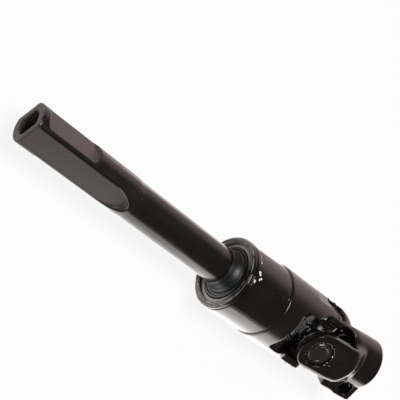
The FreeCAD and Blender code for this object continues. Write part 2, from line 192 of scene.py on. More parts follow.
def measure(tree, operation, first, second=(0, 0, 0)):
    """Output of a Vector Math node: a number for a product, a length or a distance, and else a vector."""
    node = add(tree, "ShaderNodeVectorMath", {"operation": operation}, i0=first, i1=second)
    return node.outputs["Value" if operation in ("DOT_PRODUCT", "LENGTH", "DISTANCE") else "Vector"]


def ramp(tree, value, low, high, start=0.0, end=1.0, smooth=False):
    """Value carried from the range low to high into the range start to end, and held outside of it."""
    settings = {"interpolation_type": "SMOOTHSTEP" if smooth else "LINEAR"}
    ranges = {"From_Min": low, "From_Max": high, "To_Min": start, "To_Max": end}
    return add(tree, "ShaderNodeMapRange", settings, Value=value, **ranges).outputs[0]


def object_place(tree):
    """Place on the surface, in the object's own coordinates."""
    return add(tree, "ShaderNodeTexCoord").outputs["Object"]


def noise(tree, scale, detail, **more):
    """Noise over the object's own coordinates."""
    place = object_place(tree)
    return add(tree, "ShaderNodeTexNoise", Vector=place, Scale=scale, Detail=detail, **more).outputs[0]


def blend_colour(tree, factor, first, second):
    """Colour mixed from first to second by a factor."""
    mix = add(tree, "ShaderNodeMix", {"data_type": "RGBA"}, Factor=factor)
    for key, value in (("A", first), ("B", second)):
        if isinstance(value, bpy.types.NodeSocket):
            tree.links.new(value, mix.inputs[key])
        else:
            mix.inputs[key].default_value = (*value, 1)
    return mix.outputs["Result"]


def blend_value(tree, factor, first, second):
    """Number mixed from first to second by a factor."""
    change = calculate(tree, "SUBTRACT", second, first)
    return calculate(tree, "MULTIPLY_ADD", factor, change, first)


print("node helpers ready")

# %% [markdown]
# The part lies on a white table in a dim room. Black gloss paint shows its surroundings more than its colour,
# so the photograph itself tells where they are: the sharp edge of the wide pale band is the table's horizon,
# the band is the table, and the brown glow on the far side is a pale wall. The floor is plain white to the
# camera, and it keeps a faint shadow. Where it is mirrored beyond the part, it takes the warm wall's colour.

# %% Floor and world
floor_z = cad_low[2] - 0.00005
FLOOR_HALF = 8.0
FLOOR_MIDDLE_X = 0.13
FLOOR_GLOW = 0.88
FLOOR_ALBEDO = 0.88
WARM_FROM = 0.0
WARM_TO = 0.06
ROOM = (0.15, 0.144, 0.138)
WALL = (1.0, 0.80, 0.79)
WALL_SIDE = (0.45, 0.89, 0.0)
WALL_HEIGHT = (0.30, 0.72)
WALL_EDGE = (0.25, 0.8)


def floor_material():
    """White diffuse floor, mixed with a plain glow for camera, mirrored and transmitted rays."""
    material, output = new_material("studio_floor")
    tree = material.node_tree
    path = add(tree, "ShaderNodeLightPath").outputs
    seen = calculate(tree, "MAXIMUM", path["Is Camera Ray"], path["Is Glossy Ray"])
    seen = calculate(tree, "MAXIMUM", seen, path["Is Transmission Ray"])
    share = calculate(tree, "MULTIPLY", seen, FLOOR_GLOW)
    diffuse = add(tree, "ShaderNodeBsdfDiffuse", Color=(FLOOR_ALBEDO, FLOOR_ALBEDO, FLOOR_ALBEDO, 1))
    depth = add(tree, "ShaderNodeSeparateXYZ", Vector=object_place(tree)).outputs["Y"]
    far = ramp(tree, depth, WARM_FROM, WARM_TO, smooth=True)
    colour = blend_colour(tree, calculate(tree, "MULTIPLY", far, path["Is Glossy Ray"]), (1, 1, 1), WALL)
    glow = add(tree, "ShaderNodeEmission", Color=colour, Strength=1.0)
    mix = add(tree, "ShaderNodeMixShader", i0=share, i1=diffuse.outputs[0], i2=glow.outputs[0])
    tree.links.new(mix.outputs[0], output.inputs["Surface"])
    return material


def studio_world():
    """Dim room with a pale wall on the far side, which fades out towards the ceiling and to both sides."""
    world = bpy.data.worlds.new("studio")
    world.use_nodes = True
    tree = world.node_tree
    tree.nodes.clear()
    direction = add(tree, "ShaderNodeTexCoord").outputs["Generated"]
    height = add(tree, "ShaderNodeSeparateXYZ", Vector=direction).outputs["Z"]
    low = ramp(tree, height, *WALL_HEIGHT, 1.0, 0.0, smooth=True)
    aside = ramp(tree, measure(tree, "DOT_PRODUCT", direction, WALL_SIDE), *WALL_EDGE, smooth=True)
    colour = blend_colour(tree, calculate(tree, "MULTIPLY", low, aside), ROOM, WALL)
    background = add(tree, "ShaderNodeBackground", Color=colour, Strength=1.0)
    output = add(tree, "ShaderNodeOutputWorld")
    tree.links.new(background.outputs[0], output.inputs["Surface"])
    bpy.context.scene.world = world


square = np.array([[-1, -1, 0], [1, -1, 0], [1, 1, 0], [-1, 1, 0]])
corners = square * FLOOR_HALF + [FLOOR_MIDDLE_X, 0, floor_z]
floor_mesh = bpy.data.meshes.new("floor")
floor_mesh.from_pydata(corners.tolist(), [], [[0, 1, 2, 3]])
floor_mesh.materials.append(floor_material())
floor = bpy.data.objects.new("floor", floor_mesh)
bpy.context.scene.collection.objects.link(floor)
studio_world()
print("floor at", round(floor_z / MM, 2), "mm")

# %% [markdown]
# The table is over-exposed where the paint mirrors it, so soft light cards lie on it, out of the camera's
# sight: a long one on the near side, a weaker one beside the tip and a small one on the far side. One square
# lamp overhead lights the flats and the upward faces.

# %% Lamps
CARD_LIFT = 0.0006
CARD_COLOUR = (1.0, 0.985, 0.96)
CARDS = (("card_near", 0.14, 0.56, -0.195, -0.005, 2.7), ("card_tip", 0.02, 0.14, -0.195, -0.005, 1.5),
         ("card_far", 0.09, 0.20, 0.028, 0.14, 1.2))
OVERHEAD_PLACE = (0.02, 0.0, 1.1)
OVERHEAD_SIZE = 0.5
OVERHEAD_RADIANCE = 13.0
OVERHEAD_COLOUR = (1.0, 0.99, 0.98)


def card_lamp(name, place, facing, size, radiance, colour):
    """Rectangular lamp at a place in metres. Its power is radiance times pi times its area."""
    data = bpy.data.lights.new(name, "AREA")
    data.shape = "RECTANGLE"
    data.size, data.size_y = size
    data.energy = radiance * math.pi * size[0] * size[1]
    data.color = colour
    lamp = bpy.data.objects.new(name, data)
    bpy.context.scene.collection.objects.link(lamp)
    rotation = Vector(facing).to_track_quat("-Z", "Y").to_matrix().to_4x4()
    lamp.matrix_world = Matrix.Translation(place) @ rotation
    lamp.visible_camera = False


for name, x_from, x_to, y_from, y_to, radiance in CARDS:
    middle = ((x_from + x_to) / 2, (y_from + y_to) / 2, floor_z + CARD_LIFT)
    card_lamp(name, middle, (0, 0, 1), (x_to - x_from, y_to - y_from), radiance, CARD_COLOUR)
overhead_size = (OVERHEAD_SIZE, OVERHEAD_SIZE)
card_lamp("overhead", OVERHEAD_PLACE, (0, 0, -1), overhead_size, OVERHEAD_RADIANCE, OVERHEAD_COLOUR)
bpy.context.scene.view_settings.view_transform = "Standard"
print("lamps", len(CARDS) + 1)

# %% [markdown]
# Every new surface here is a grid of points: rows run along the piece and columns run round it.
# One helper turns such a grid into a mesh. Rows that shrink to a point are merged afterwards,
# so poles and seams close, and the normals are worked out again so that they point outwards.

# %% Grid to mesh
SMOOTH_MERGE = 1e-7


def tidy_mesh(mesh, merge=SMOOTH_MERGE):
    """Merge points that coincide, drop faces with no area and turn all faces outwards."""
    work = bmesh.new()
    work.from_mesh(mesh)
    bmesh.ops.remove_doubles(work, verts=work.verts, dist=merge)
    bmesh.ops.dissolve_degenerate(work, edges=work.edges, dist=merge)
    bmesh.ops.recalc_face_normals(work, faces=work.faces)
    work.to_mesh(mesh)
    work.free()


def finish_piece(name, mesh, body, replaced=()):
    """Smooth-shaded object that rides on a body and stands for CAD nodes."""
    mesh.shade_smooth()
    piece = bpy.data.objects.new(name, mesh)
    bpy.context.scene.collection.objects.link(piece)
    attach(piece, body)
    if replaced:
        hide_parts(*replaced)
    print(name, len(mesh.polygons), "faces")
    return piece


def grid_faces(rows, columns, wrap_rows, wrap_columns, start=0):
    """Quads between neighbours of a rows by columns grid, as an array of point numbers."""
    last_row = rows if wrap_rows else rows - 1
    last_column = columns if wrap_columns else columns - 1
    i, j = np.meshgrid(np.arange(last_row), np.arange(last_column), indexing="ij")
    below, beside = (i + 1) % rows, (j + 1) % columns
    quads = [i * columns + j, i * columns + beside, below * columns + beside, below * columns + j]
    return np.stack(quads, -1).reshape(-1, 4) + start


def grid_mesh(name, grids, wrap_rows=True, wrap_columns=True):
    """Mesh of one or more grids of points in millimetres, each of shape (rows, columns, 3)."""
    points, faces, count = [], [], 0
    for grid in grids:
        rows, columns = grid.shape[:2]
        points.append(grid.reshape(-1, 3) * MM)
        faces.append(grid_faces(rows, columns, wrap_rows, wrap_columns, count))
        count += rows * columns
    mesh = bpy.data.meshes.new(name)
    mesh.from_pydata(np.concatenate(points).tolist(), [], np.concatenate(faces).tolist())
    tidy_mesh(mesh)
    return mesh


def rounded_outline(corners, steps=6):
    """Closed outline through (x, radius, round) corners, where each round is an arc of the given radius."""
    points = []
    corners = [np.array(corner, float) for corner in corners]
    for i, corner in enumerate(corners):
        here = corner[:2]
        before = unit(corners[i - 1][:2] - here)
        after = unit(corners[(i + 1) % len(corners)][:2] - here)
        if corner[2] == 0:
            points.append(here[None])
            continue
        half = math.acos(np.clip(before @ after, -1, 1)) / 2
        middle = here + unit(before + after) * corner[2] / math.sin(half)
        first = here + before * corner[2] / math.tan(half) - middle
        last = here + after * corner[2] / math.tan(half) - middle
        share = np.linspace(0, 1, steps)[:, None]
        swing = math.pi - 2 * half
        arc = (np.sin((1 - share) * swing) * first + np.sin(share * swing) * last) / math.sin(swing)
        points.append(middle + arc)
    return np.concatenate(points)


def closer(outline, longest):
    """The same closed outline, with long straight stretches divided evenly."""
    pieces = []
    for start, end in zip(outline, np.roll(outline, -1, axis=0)):
        count = max(1, math.ceil(np.linalg.norm(end - start) / longest))
        share = np.linspace(0, 1, count, endpoint=False)[:, None]
        pieces.append(start * (1 - share) + end * share)
    return np.concatenate(pieces)


def lathe(outline, axes, count, along=0.0):
    """Outline (distance, radius) turned about the axes: side = radius sin t and up = radius cos t."""
    t = np.linspace(0, 2 * math.pi, count, endpoint=False)
    distance = outline[:, :1] + along + 0 * t
    return axes.place(distance, outline[:, 1:] * np.sin(t), outline[:, 1:] * np.cos(t))


print("helpers ready")

# %% [markdown]
# The shaft is a tube swaged to a double flat at its tip. Milling would leave hard edges, but the real ones
# are softened by the swage and by paint. So the radius is written as a function of the place along the tube
# and the angle round it. The round tube, two flats and the bolt recess are joined by a smooth minimum,
# which rounds each edge by itself.

# %% Shaft surface
TIP_R = 10.25
TUBE_R = 10.0
TUBE_LENGTH = 160.5
FLAT_LEVEL = 7.8
FLAT_LENGTH = 46.0
FLAT_RUNOUT = 13.5
FLAT_END = FLAT_LENGTH + FLAT_RUNOUT
TUBE_START = FLAT_END + 5.0
RUNOUT_SLOPE = 2.1
RECESS_LEVEL = 7.75
RECESS_MIDDLE = 19.1
RECESS_HALF = 14.5
RECESS_SIDE = 7.1
RECESS_CORNER = 3.4
RECESS_SLOPE = 2.9
SHAFT_PHASE = math.radians(13.0)
BORE_R = 6.2
BORE_LEVEL = 4.7
TUBE_BORE_R = 6.8
TIP_ROUND = 0.7
EDGE_SOFTNESS = 0.45
BORE_SOFTNESS = 0.6
ROUND_STEPS = 264
EDGE_STEPS = 6
TUBE_STEPS = 48
TIP_STEPS = 170
BORE_STEPS = 50


def wrapped(angle):
    """Angle brought into -180 to 180 degrees."""
    return (angle + math.pi) % (2 * math.pi) - math.pi


def smooth_minimum(a, b, softness):
    """Lower of a and b with a rounded crossing: min(a, b) - h^2 softness / 4, h = 1 - |a - b| / softness."""
    h = np.clip(1 - np.abs(a - b) / softness, 0, None)
    return np.minimum(a, b) - h * h * softness / 4


def cut_radius(height, angle, start_radius):
    """Radius at which a ray at this angle meets up = height(side), solved by repeated guesses."""
    cosine = np.maximum(np.cos(angle), 0.05)
    radius = start_radius
    for _ in range(6):
        side = np.minimum(radius, TIP_R) * np.sin(angle)
        radius = 0.5 * radius + 0.5 * height(side) / cosine
    return np.where(np.cos(angle) > 0.1, radius, 99.0)


def shaft_radius(x, t):
    """Outside radius: the tube, less two flats with sloped round ends, less the pocket of the clamp bolt."""
    blend = np.clip((x - FLAT_END) / (TUBE_START - FLAT_END), 0, 1)
    round_part = TIP_R + (TUBE_R - TIP_R) * blend * blend * (3 - 2 * blend) + 0 * t
    half_width = math.sqrt(TIP_R ** 2 - FLAT_LEVEL ** 2) + 0.05

    def flat(side):
        end = FLAT_LENGTH + FLAT_RUNOUT * np.sqrt(np.clip(1 - (side / half_width) ** 2, 0, 1))
        return FLAT_LEVEL + RUNOUT_SLOPE * np.clip(x - end, 0, None)

    def pocket(side):
        out_x = np.abs(x - RECESS_MIDDLE) - RECESS_HALF + RECESS_CORNER
        out_side = np.abs(side) - RECESS_SIDE + RECESS_CORNER
        outside = np.hypot(np.clip(out_x, 0, None), np.clip(out_side, 0, None)) - RECESS_CORNER
        return RECESS_LEVEL + RECESS_SLOPE * np.clip(outside, 0, None)

    radius = round_part
    for turn_by in (0, math.pi):
        cut = cut_radius(flat, wrapped(-t - SHAFT_PHASE - turn_by), round_part)
        radius = smooth_minimum(radius, cut, EDGE_SOFTNESS)
    cut = cut_radius(pocket, wrapped(-t - SHAFT_PHASE + math.pi / 2), round_part)
    return smooth_minimum(radius, cut, EDGE_SOFTNESS)


def bore_radius(x, t):
    """Inside radius: an oblong hole in the tip that opens into the tube's round bore."""
    angle = wrapped(-t - SHAFT_PHASE)
    slab = BORE_LEVEL / np.maximum(np.abs(np.cos(angle)), 0.05)
    oblong = smooth_minimum(BORE_R + 0 * t, slab, BORE_SOFTNESS)
    blend = np.clip((x - FLAT_LENGTH) / FLAT_RUNOUT, 0, 1)
    return oblong * (1 - blend) + TUBE_BORE_R * blend


def shaft_grid():
    """Closed grid: outside from back to front, over the end face, and inside from front to back."""
    t = np.linspace(0, 2 * math.pi, ROUND_STEPS, endpoint=False)[None]
    quarter = np.linspace(0, math.pi / 2, EDGE_STEPS)[:, None]
    tube_x = np.linspace(TUBE_LENGTH, TUBE_START + 2, TUBE_STEPS, endpoint=False)
    tip_x = np.linspace(TUBE_START + 2, TIP_ROUND, TIP_STEPS, endpoint=False)
    outside_x = np.concatenate([tube_x, tip_x])[:, None]
    edge_x = TIP_ROUND * (1 - np.sin(quarter))
    edge_drop = TIP_ROUND * (1 - np.cos(quarter))
    hole_x = TIP_ROUND * (1 - np.cos(quarter))
    hole_rise = TIP_ROUND * (1 - np.sin(quarter))
    inside_x = np.linspace(TIP_ROUND + 1, TUBE_LENGTH, BORE_STEPS)[:, None]
    radii = [shaft_radius(outside_x, t), shaft_radius(edge_x, t) - edge_drop,
             bore_radius(hole_x, t) + hole_rise, bore_radius(inside_x, t)]
    x = np.concatenate([outside_x, edge_x, hole_x, inside_x]) + 0 * t
    radius = np.concatenate(radii)
    return shaft.place(x, radius * np.sin(t), radius * np.cos(t))


shaft_mesh = grid_mesh("shaft_tube", [shaft_grid()])
shaft_piece = finish_piece("shaft_tube", shaft_mesh, "shaft", ["inner_shaft"])

# %% [markdown]
# On the real tip the swaged flats, the pocket and the end face are browner and duller than the round tube,
# and the bore is bare. No place along one axis tells them apart, but their distance from the shaft's axis
# does. So that distance is turned into two masks, which the mesh carries to its paint as point attributes.

# %% Masks of the tip
MASK_DROP = 0.25
MASK_FADE = 0.25
HOLLOW_MARGIN = 0.6
HOLLOW_FADE = 0.4


def write_masks(mesh):
    """Point attributes: "swaged" is 1 on the tip's flats, pocket and end, and "hollow" is 1 in its bore."""
    points = np.empty(len(mesh.vertices) * 3)
    mesh.vertices.foreach_get("co", points)
    points = points.reshape(-1, 3) / MM
    away = np.hypot(points[:, 1], points[:, 2])
    near_tip = np.clip(TUBE_START - points[:, 0], 0, 1)
    masks = {"swaged": np.clip((TUBE_R - away - MASK_DROP) / MASK_FADE, 0, 1) * near_tip,
             "hollow": np.clip((BORE_R + HOLLOW_MARGIN - away) / HOLLOW_FADE, 0, 1) * near_tip}
    for name, mask in masks.items():
        mesh.attributes.new(name, "FLOAT", "POINT").data.foreach_set("value", mask.astype(np.float32))
        print(name, int((mask > 0.5).sum()), "points")


write_masks(shaft_mesh)

# %% [markdown]
# The damper's sleeve is drawn sheet, turned in at its open end and pressed over the cup yoke.
# Its outline is turned about the coupling's own axis, which sags a little against the shaft. The rolled rim
# gets its bead, the fine groove behind it and a step inside the lip, because the light catches each of them.

# %% Damper sleeve
RIM = -75.7
SLEEVE_LENGTH = 31.0
SLEEVE_R = 20.5
SLEEVE_BORE = 18.5
LIP_R = 16.7
LIP_T = 1.6


def sleeve_outline():
    """Outline (distance from the cross, radius) of the sleeve, from the lip's inside round the outside."""
    end = RIM + SLEEVE_LENGTH
    return rounded_outline([
        (RIM + 0.35, LIP_R, 0.25),
        (RIM + 0.3, 17.5, 0.2),
        (RIM, 17.75, 0.15),
        (RIM, 20.3, 1.2),
        (RIM + 2.05, 20.3, 0.25),
        (RIM + 2.2, 19.9, 0.12),
        (RIM + 2.65, 19.9, 0.12),
        (RIM + 2.8, SLEEVE_R, 0.45),
        (end, SLEEVE_R, 0.35),
        (end, SLEEVE_BORE, 0),
        (RIM + LIP_T, SLEEVE_BORE, 0),
        (RIM + LIP_T, LIP_R, 0.3),
    ])


sleeve_mesh = grid_mesh("sleeve_shell", [lathe(closer(sleeve_outline(), 1.0), coupling, 288)])
sleeve_piece = finish_piece("sleeve_shell", sleeve_mesh, "coupling", ["damper_sleeve"])

# %% [markdown]
# The rubber is bonded between the outer ring and the shaft. Its rim belongs to the sagging coupling and its
# collar grips the straight shaft, so the two circles are not concentric. Each row of the grid is a circle
# whose centre slides from one axis to the other, by a weight that depends on the radius.

# %% Rubber isolator
THROAT_R = 14.75
COLLAR_R = 12.75
NOSE_X = 129.3
RIM_X = 135.7
SLIDE_FROM = 12.4
SLIDE_WIDTH = 1.6


def rubber_grid():
    """Rows (x, radius, weight): centre = shaft axis + weight times the coupling's offset at that place."""
    rows = closer(rounded_outline([
        (NOSE_X, 10.08, 0), (NOSE_X, 10.32, 0.1), (RIM_X - 3.2, 10.75, 5.0), (RIM_X - 0.9, 11.5, 1.2),
        (RIM_X + 0.1, COLLAR_R - 0.5, 0.6), (RIM_X + 1.3, COLLAR_R, 0.3), (RIM_X + 1.5, COLLAR_R + 0.45, 0.2),
        (RIM_X + 0.7, COLLAR_R + 0.75, 0.3), (RIM_X + 0.75, THROAT_R - 0.6, 0.4),
        (RIM_X + 1.7, THROAT_R, 0.2), (RIM_X + 2.8, THROAT_R, 0), (RIM_X + 2.8, 17.2, 0),
        (RIM_X + 16.0, 17.2, 0), (RIM_X + 16.0, 11.38, 0), (RIM_X + 2.7, 11.38, 0), (RIM_X + 2.7, 10.08, 0),
    ]), 0.8)
    t = np.linspace(0, 2 * math.pi, 216, endpoint=False)[None]
    x, radius = rows[:, :1] + 0 * t, rows[:, 1:] + 0 * t
    weight = np.clip((radius - SLIDE_FROM) / SLIDE_WIDTH, 0, 1)[..., None]
    weight = weight * weight * (3 - 2 * weight)
    on_shaft = shaft.place(x, radius * np.sin(t), radius * np.cos(t))
    from_cross = (x - coupling.centre[0]) / coupling.along[0]
    on_coupling = coupling.place(from_cross, radius * np.sin(t), radius * np.cos(t))
    return on_shaft * (1 - weight) + on_coupling * weight


rubber_mesh = grid_mesh("rubber_ring", [rubber_grid()])
rubber_piece = finish_piece("rubber_ring", rubber_mesh, "coupling", ["rubber_isolator"])

# %% [markdown]
# The two yokes and the cross are forgings. Their solids are right, but their edges are sharp, and no edge of
# a painted forging is. A bevel would need a clean edge all round, so each solid is copied, merged, laid over
# with an even grid of small faces and smoothed a few times. Flat faces stay flat, and each edge turns over
# a width that the grid's size sets. Where the clamp's ears run into its hub, many more rounds turn the step
# into the wide fillet of the real forging.

# %% Forged pieces
SOFT_FACTOR = 0.5
WIDE_FACTOR = 0.8
WIDE_ROUNDS = 110
SHOULDER_FROM = 12.5
SHOULDER_TO = 32.5
SHOULDER_FADE = 4
SHOULDER_OUT = 10.5
SHOULDER_OUT_FADE = 2


def filleted(rough, mesh, blend):
    """Mesh smoothed again by many rounds, each point as far as its weight says."""
    rough.modifiers.clear()
    rough.data = mesh
    points = np.empty(len(mesh.vertices) * 3)
    mesh.vertices.foreach_get("co", points)
    weights = np.round(blend(points.reshape(-1, 3) / MM), 1)
    group = rough.vertex_groups.new(name="blend")
    for weight in np.unique(weights[weights > 0]):
        group.add(np.flatnonzero(weights == weight).tolist(), float(weight), "REPLACE")
    wide = rough.modifiers.new("wide", "SMOOTH")
    wide.factor = WIDE_FACTOR
    wide.iterations = WIDE_ROUNDS
    wide.vertex_group = "blend"
    graph = bpy.context.evaluated_depsgraph_get()
    return bpy.data.meshes.new_from_object(rough.evaluated_get(graph))


def shoulder(points):
    """Weight 1 on the outside of the clamp's ears where they run into its hub, with faded edges."""
    offset = points - clamp.centre
    x, up_high = offset @ clamp.along, np.abs(offset @ clamp.up)
    along = np.clip((x - SHOULDER_FROM) / SHOULDER_FADE, 0, 1)
    along = along * np.clip((SHOULDER_TO - x) / SHOULDER_FADE, 0, 1)
    away = np.maximum(up_high, np.abs(offset @ clamp.side))
    return along * np.clip((away - SHOULDER_OUT) / SHOULDER_OUT_FADE, 0, 1)


def forged(node, name, body, grid, passes, blend=None):
    """Copy of a CAD solid with its edges softened: even remesh, then a few rounds of smoothing.

    Where blend gives a weight over 0 for a point, far more rounds turn a step into a wide forged fillet.
    """
    mesh = frame["nodes"][node].data.copy()
    mesh.materials.clear()
    tidy_mesh(mesh, 1e-6)
    rough = bpy.data.objects.new(name + "_rough", mesh)
    bpy.context.scene.collection.objects.link(rough)
    even = rough.modifiers.new("even", "REMESH")
    even.mode = "VOXEL"
    even.voxel_size = grid * MM
    soft = rough.modifiers.new("soft", "SMOOTH")
    soft.factor = SOFT_FACTOR
    soft.iterations = passes
    graph = bpy.context.evaluated_depsgraph_get()
    smooth = bpy.data.meshes.new_from_object(rough.evaluated_get(graph))
    if blend:
        smooth = filleted(rough, smooth, blend)
    smooth.name = name
    bpy.data.objects.remove(rough)
    return finish_piece(name, smooth, body, [node])


cup_yoke_piece = forged("cup_yoke", "cup_yoke_forging", "coupling", grid=0.42, passes=5)
clamp_yoke_piece = forged("clamp_yoke", "clamp_yoke_forging", "clamp", grid=0.42, passes=6,
                          blend=shoulder)
cross_piece = forged("cross", "cross_forging", "cross", grid=0.36, passes=5)

# %% [markdown]
# Each bearing cup is drawn from thin steel: a flat floor with a pressed ring round its middle, and a generous
# round into the wall. It is one outline turned about the trunnion. Eight dabs of the yoke's own metal are
# punched over its edge to hold it, and each dab is a squashed ball, half sunk, that leans on the cup.

# %% Bearing cups, stakes and seals
CUP_FACE = 18.8
CUP_MOUTH = 10.6
CUP_OUTSIDE = 8.0
CUP_INSIDE = 6.8
CUP_CLEARANCE = 0.02
CUP_EAR_FACE = 20.6
CLAMP_EAR_FACE = 19.6
STAKE_ANGLES = (20, 65, 112, 158, 203, 248, 292, 338)
STAKE_OUTWARD = 0.85
STAKE_INWARD = 0.95
STAKE_AROUND = 1.35
STAKE_OFFSET = 0.28
STAKE_SINK = 0.35


def ear_axes(direction, upward):
    """Axes with the first direction along a trunnion."""
    return Axes(cross_centre, direction, upward)


def cup_outline():
    """Outline (distance from the cross, radius) of a drawn cup, from its floor's middle round its wall."""
    return rounded_outline([
        (CUP_FACE - 0.28, 0.0, 0),
        (CUP_FACE - 0.28, 4.55, 0.25),
        (CUP_FACE, 4.95, 0.22),
        (CUP_FACE, 5.75, 0.3),
        (CUP_FACE - 0.55, 6.35, 0.5),
        (CUP_FACE - 0.6, CUP_OUTSIDE - CUP_CLEARANCE, 1.0),
        (CUP_MOUTH, CUP_OUTSIDE - CUP_CLEARANCE, 0.3),
        (CUP_MOUTH, CUP_INSIDE, 0.3),
        (CUP_FACE - 1.2, CUP_INSIDE, 0.4),
        (CUP_FACE - 1.2, 0.0, 0),
    ])


def stake_grid(axes, angle, ear_face):
    """Ball with three radii, set on the hole's wall: a dab of metal pushed in over the cup."""
    u = np.linspace(0, math.pi, 9)[:, None]
    v = np.linspace(0, 2 * math.pi, 14, endpoint=False)[None]
    outward = STAKE_OUTWARD * np.cos(u) + 0 * v
    inward = STAKE_INWARD * np.sin(u) * np.cos(v)
    around = STAKE_AROUND * np.sin(u) * np.sin(v)
    radius = CUP_OUTSIDE + STAKE_OFFSET - inward
    turn_by = math.radians(angle) + around / CUP_OUTSIDE
    depth = (CUP_FACE + ear_face) / 2 - STAKE_SINK + outward
    return axes.place(depth, radius * np.sin(turn_by), radius * np.cos(turn_by))


def seal_outline():
    """Outline of a lip seal at a trunnion's root: a ring with a groove and a lip that points at the cup."""
    return rounded_outline([
        (9.32, 4.8, 0.1), (9.32, 7.1, 0.3), (10.2, 7.35, 0.2), (10.35, 7.05, 0.15),
        (10.05, 6.6, 0.15), (10.35, 6.2, 0.15), (10.38, 4.8, 0.1),
    ])


ears = {
    "left": (ear_axes(coupling.side, coupling.up), "coupling", CUP_EAR_FACE),
    "right": (ear_axes(-coupling.side, coupling.up), "coupling", CUP_EAR_FACE),
    "upper": (ear_axes(clamp.up, clamp.along), "clamp", CLAMP_EAR_FACE),
    "lower": (ear_axes(-clamp.up, clamp.along), "clamp", CLAMP_EAR_FACE),
}
cup_pieces, stake_pieces, seal_pieces = [], [], []
for side_name, (axes, body, ear_face) in ears.items():
    cup_mesh = grid_mesh("cup", [lathe(closer(cup_outline(), 1.2), axes, 120)])
    cup_pieces.append(finish_piece("bearing_shell_" + side_name, cup_mesh, body,
                                   ["bearing_cup_" + side_name]))
    stakes = [stake_grid(axes, angle, ear_face) for angle in STAKE_ANGLES]
    stake_mesh = grid_mesh("stakes", stakes, wrap_rows=False)
    stake_pieces.append(finish_piece("stake_marks_" + side_name, stake_mesh, body))
    seal_mesh = grid_mesh("seal", [lathe(seal_outline(), axes, 96)])
    seal_pieces.append(finish_piece("lip_seal_" + side_name, seal_mesh, "cross",
                                    ["trunnion_seal_" + side_name]))

# %% [markdown]
# Paint, rubber and grease share a few small effects. Each is a node group, built once, that gives out only a
# mask or a height, while the shader itself stays in the material. The first three cover a whole surface: fine
# orange peel for the bump, a soft cloud for colour and gloss, and a scatter of small specks.

# %% Effects that cover a surface
FLOAT, VECTOR = "NodeSocketFloat", "NodeSocketVector"


def new_group(name, inputs, output_name="Mask"):
    """Empty node group with float or vector inputs: its tree, what it is given and the socket it fills."""
    tree = bpy.data.node_groups.new(name, "ShaderNodeTree")
    for label, kind, value in inputs:
        socket = tree.interface.new_socket(label, in_out="INPUT", socket_type=kind)
        socket.default_value = value
    tree.interface.new_socket(output_name, in_out="OUTPUT", socket_type=FLOAT)
    given = tree.nodes.new("NodeGroupInput").outputs
    return tree, given, tree.nodes.new("NodeGroupOutput").inputs[output_name]


def peel_group():
    """Height of fine orange peel and faint ripples, from two scales of noise."""
    tree, given, result = new_group("orange_peel", [
        ("Fine Scale", FLOAT, 900.0), ("Ripple Scale", FLOAT, 120.0)], "Height")
    fine = noise(tree, given["Fine Scale"], 2.0)
    ripple = noise(tree, given["Ripple Scale"], 3.0)
    tree.links.new(calculate(tree, "MULTIPLY_ADD", ripple, 1.6, fine), result)
    return tree


def cloud_group():
    """Soft cloud between 0 and 1 that varies over the surface."""
    tree, given, result = new_group("cloud", [
        ("Scale", FLOAT, 40.0), ("Low", FLOAT, 0.35), ("High", FLOAT, 0.65)])
    cloud = noise(tree, given["Scale"], 6.0, Roughness=0.6)
    tree.links.new(ramp(tree, cloud, given["Low"], given["High"], smooth=True), result)
    return tree


def speck_group():
    """Scatter of small specks: the cores of random cells, kept in the share of cells that Amount says."""
    tree, given, result = new_group("specks", [
        ("Scale", FLOAT, 600.0), ("Size", FLOAT, 0.2), ("Amount", FLOAT, 0.3)])
    cells = add(tree, "ShaderNodeTexVoronoi", Vector=object_place(tree), Scale=given["Scale"]).outputs
    core = ramp(tree, cells["Distance"], 0.0, given["Size"], 1.0, 0.0)
    lot = add(tree, "ShaderNodeSeparateColor", Color=cells["Color"]).outputs[0]
    kept = calculate(tree, "LESS_THAN", lot, given["Amount"])
    tree.links.new(calculate(tree, "MULTIPLY", core, kept), result)
    return tree


groups = {group.name: group for group in (peel_group(), cloud_group(), speck_group())}
print("groups", sorted(groups))

# %% [markdown]
# The other three stand at one place, where the photograph shows a mark: a ragged round spot, used for chips
# and for painted glints, a thin scratch between two points, and a thin circle, used for a worn line on the tip
# and for the painted highlight lines on the sleeve's rolled rim. Each works out how far a point of the
# surface lies from the mark, in the object's own coordinates.

# %% Marks of wear and painted highlights
RING_DEPTH = 0.0012


def chip_group():
    """Ragged round spot, for a paint chip and for a painted glint: 1 inside Radius of Centre, after noise has
    moved the edge.
    """
    tree, given, result = new_group("chip_and_glint_spot", [("Centre", VECTOR, (0, 0, 0)), ("Radius", FLOAT, 0.001)])
    away = measure(tree, "DISTANCE", object_place(tree), given["Centre"])
    ragged = calculate(tree, "MULTIPLY_ADD", noise(tree, 1500.0, 3.0), 1.3, 0.35)
    ratio = calculate(tree, "DIVIDE", away, calculate(tree, "MULTIPLY", given["Radius"], ragged))
    tree.links.new(ramp(tree, ratio, 0.85, 1.1, 1.0, 0.0), result)
    return tree


def scratch_group():
    """Thin line from Start to End: distance to the segment, found by projecting the point on it."""
    tree, given, result = new_group("scratch", [
        ("Start", VECTOR, (0, 0, 0)), ("End", VECTOR, (0, 0, 1)), ("Width", FLOAT, 0.0003)])
    run = measure(tree, "SUBTRACT", given["End"], given["Start"])
    offset = measure(tree, "SUBTRACT", object_place(tree), given["Start"])
    along = measure(tree, "DOT_PRODUCT", offset, run)
    share = calculate(tree, "DIVIDE", along, measure(tree, "DOT_PRODUCT", run, run))
    share = add(tree, "ShaderNodeClamp", Value=share).outputs[0]
    nearest = add(tree, "ShaderNodeVectorMath", {"operation": "SCALE"}, i0=run, Scale=share).outputs[0]
    away = measure(tree, "DISTANCE", offset, nearest)
    tree.links.new(ramp(tree, away, 0.0, given["Width"], 1.0, 0.0), result)
    return tree


